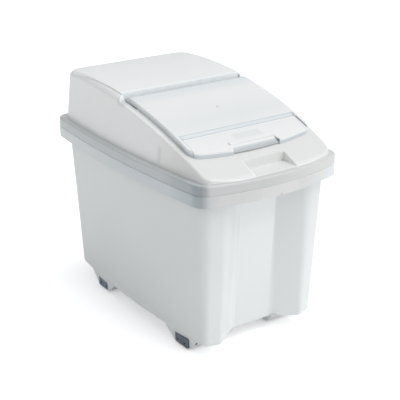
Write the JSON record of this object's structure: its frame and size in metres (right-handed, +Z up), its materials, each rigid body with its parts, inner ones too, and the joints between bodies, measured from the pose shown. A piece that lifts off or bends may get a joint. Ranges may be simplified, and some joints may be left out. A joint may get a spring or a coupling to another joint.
{
  "type": "mobile ingredient bin",
  "caption": "Tapered white plastic ingredient bin on small castors, with a lift-off translucent sloped hood and a clear flap that swings up for scooping.",
  "frame": {"origin": "on the floor under the middle of the bin", "axes": "+Z up, the front with the finger recess faces -Y, +X is to the right seen from the front"},
  "size_m": [0.44, 0.704, 0.591],
  "materials": {
    "tub": "satin moulded polypropylene",
    "hood": "natural translucent polypropylene",
    "flap": "clear polycarbonate",
    "pin": "satin",
    "housing": "fine texture",
    "axle": "drawn",
    "screw": "zinc plated",
    "hub": "satin",
    "tyre": "soft matt"
  },
  "bodies": {
    "tub": {"tub": "tub", "housing_screws": "screw", "housing_front_left": "housing", "housing_front_right": "housing", "housing_rear_left": "housing", "housing_rear_right": "housing", "axle_front_left": "axle", "axle_front_right": "axle", "axle_rear_left": "axle", "axle_rear_right": "axle"},
    "hood": {"hood": "hood", "hinge_pin_left": "pin", "hinge_pin_right": "pin"},
    "flap": {"flap": "flap"},
    "wheel_front_left": {"hub_front_left": "hub", "tyre_front_left": "tyre"},
    "wheel_front_right": {"hub_front_right": "hub", "tyre_front_right": "tyre"},
    "wheel_rear_left": {"hub_rear_left": "hub", "tyre_rear_left": "tyre"},
    "wheel_rear_right": {"hub_rear_right": "hub", "tyre_rear_right": "tyre"}
  },
  "joints": [
    {"name": "hood_lift", "type": "slide", "parent": "tub", "child": "hood", "axis": [0, 0, 1], "range_m": [0, 0.25]},
    {"name": "flap_swing", "type": "hinge", "parent": "hood", "child": "flap", "pos_m": [0, 0.00699, 0.55047], "axis": [-1, 0, 0], "range_deg": [0, 104]},
    {"name": "spin_front_left", "type": "hinge", "parent": "tub", "child": "wheel_front_left", "pos_m": [-0.12, -0.196, 0.023], "axis": [1, 0, 0], "continuous": true},
    {"name": "spin_front_right", "type": "hinge", "parent": "tub", "child": "wheel_front_right", "pos_m": [0.12, -0.196, 0.023], "axis": [1, 0, 0], "continuous": true},
    {"name": "spin_rear_left", "type": "hinge", "parent": "tub", "child": "wheel_rear_left", "pos_m": [-0.12, 0.176, 0.023], "axis": [1, 0, 0], "continuous": true},
    {"name": "spin_rear_right", "type": "hinge", "parent": "tub", "child": "wheel_rear_right", "pos_m": [0.12, 0.176, 0.023], "axis": [1, 0, 0], "continuous": true}
  ]
}
